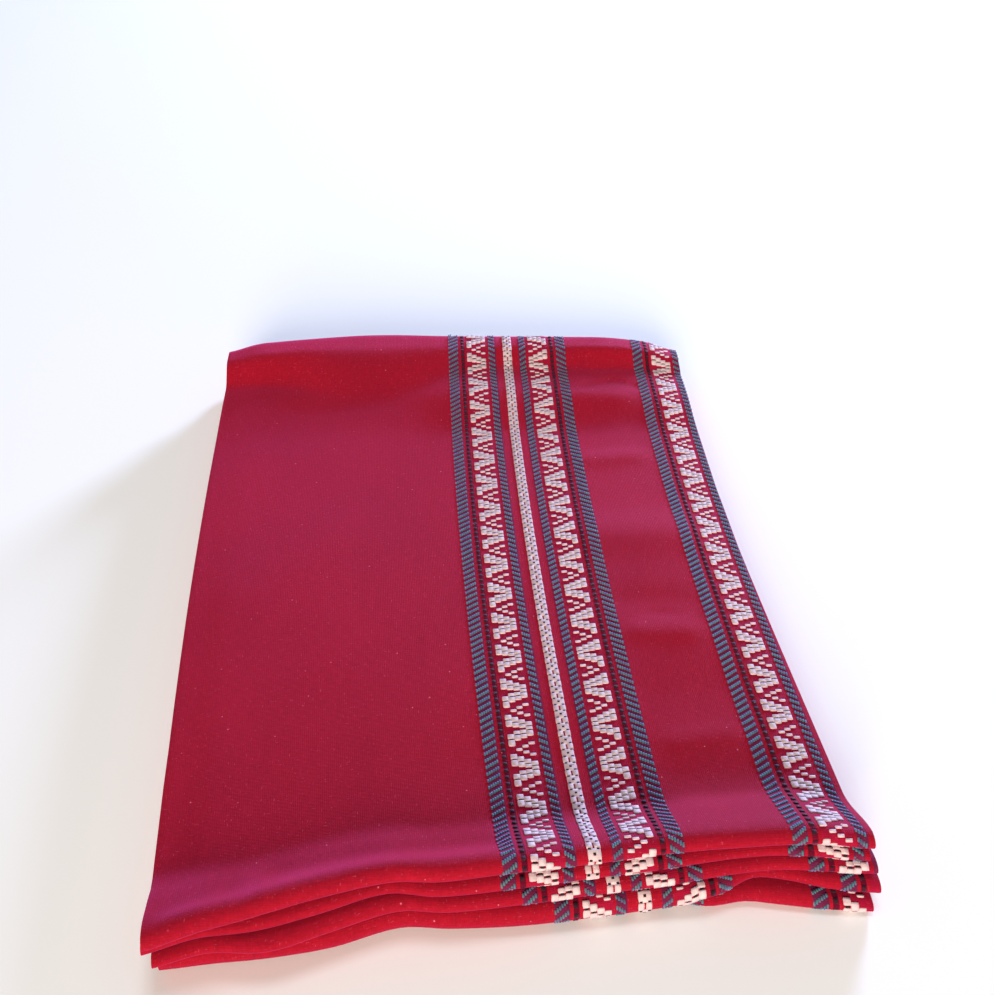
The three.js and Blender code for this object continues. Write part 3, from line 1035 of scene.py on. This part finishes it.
cloth.data.materials.append(red)
# The cut rim takes this pink-red colour: the selvage's own colour with painted sheen in it.
selvage_and_sheen, _, shader = new_material("selvage_and_sheen_cotton", roughness=0.9)
shader.inputs["Base Color"].default_value = SELVAGE_AND_SHEEN
cloth.data.materials.append(selvage_and_sheen)
thickness.material_offset_rim = 1
print("nodes of the red cotton:", len(tree.nodes))


# %% Raised yarns
def yarn_material(name, colour, shade, sheen, tint):
    """A soft yarn: its colour varies from float to float, and fine fibres run along the weft."""
    material, tree, shader = new_material(name, roughness=0.85, sheen_weight=sheen, sheen_roughness=0.5)
    shader.inputs["Specular IOR Level"].default_value = 0.2
    shader.inputs["Sheen Tint"].default_value = (*tint, 1)
    mottled = ramp(tree, noise(tree, (230, 230), 2), [(0.3, shade), (0.6, colour)])
    tree.links.new(mottled, shader.inputs["Base Color"])
    fibres = noise(tree, (500, 2600), 2)
    tree.links.new(bump(tree, fibres, 0.0003, 0.6), shader.inputs["Normal"])
    return material


YARN_LOOKS = {  # colour, shade, share of sheen and the sheen's tint
    "white": ((0.66, 0.51, 0.51), (0.54, 0.37, 0.39), 0.35, (0.74, 0.62, 1.0)),
    "teal": ((0.050, 0.19, 0.18), (0.050, 0.090, 0.15), 0.6, (0.40, 0.36, 1.0)),
    # The black finish also colours the knots of painted shade in the gaps.
    "black-and-shade": ((0.030, 0.006, 0.011), (0.014, 0.003, 0.006), 0.15, (1.0, 0.3, 0.7)),
}
YARNS = {name: yarn_material(f"{name}_yarn", *looks) for name, looks in YARN_LOOKS.items()}
for name, piece in yarn_pieces.items():
    piece.data.materials.append(YARNS[name.split("_")[0]])
print("yarn finishes:", ", ".join(YARNS))

# %% [markdown]
# ## Floor and light
# The pile rests on a plain pale floor. A large warm light stands low in front and brightens every slope
# that faces it. A soft light hangs overhead. A cool one, low behind the right corner, grazes the cloth, so
# flat and backward slopes turn towards magenta.

# %% Floor, world and lights
FLOOR_REACH = 6
FLOOR_DROP = 0.5 * MM
mesh = bpy.data.meshes.new("floor")
bm = bmesh.new()
bmesh.ops.create_grid(bm, x_segments=1, y_segments=1, size=FLOOR_REACH)
bm.to_mesh(mesh)
bm.free()
floor = add_object("floor", mesh)
floor.location.z = -FLOOR_DROP
pale, _, shader = new_material("pale_floor", roughness=0.9)
shader.inputs["Base Color"].default_value = (0.98, 0.98, 0.98, 1)
floor.data.materials.append(pale)


def area_light(name, place, size, power, colour):
    """A round light that looks at the middle of the pile."""
    light = bpy.data.lights.new(name, "AREA")
    light.shape = "DISK"
    light.size = size
    light.energy = power
    light.color = colour
    lamp = bpy.data.objects.new(name, light)
    lamp.location = place
    lamp.rotation_euler = (Vector() - Vector(place)).to_track_quat("-Z", "Y").to_euler()
    bpy.context.collection.objects.link(lamp)


area_light("front_light", (-0.9, -5.9, 1.75), 2.6, 560, (1.0, 0.89, 0.74))
area_light("sky_light", (0.0, 0.6, 6.0), 2.5, 90, (0.92, 0.94, 1.0))
area_light("window_light", (2.0, 3.2, 0.48), 0.9, 410, (0.55, 0.66, 1.0))
world = bpy.data.worlds.new("soft_room")
bpy.context.scene.world = world
world.use_nodes = True
world.node_tree.nodes["Background"].inputs["Color"].default_value = (0.88, 0.92, 1.0, 1)
world.node_tree.nodes["Background"].inputs["Strength"].default_value = 0.20
bpy.context.scene.view_settings.view_transform = "Standard"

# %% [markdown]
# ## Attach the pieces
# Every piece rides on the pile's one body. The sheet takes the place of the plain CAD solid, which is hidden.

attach(cloth, "root")
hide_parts("tablecloth")
for piece in yarn_pieces.values():
    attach(piece, "root")
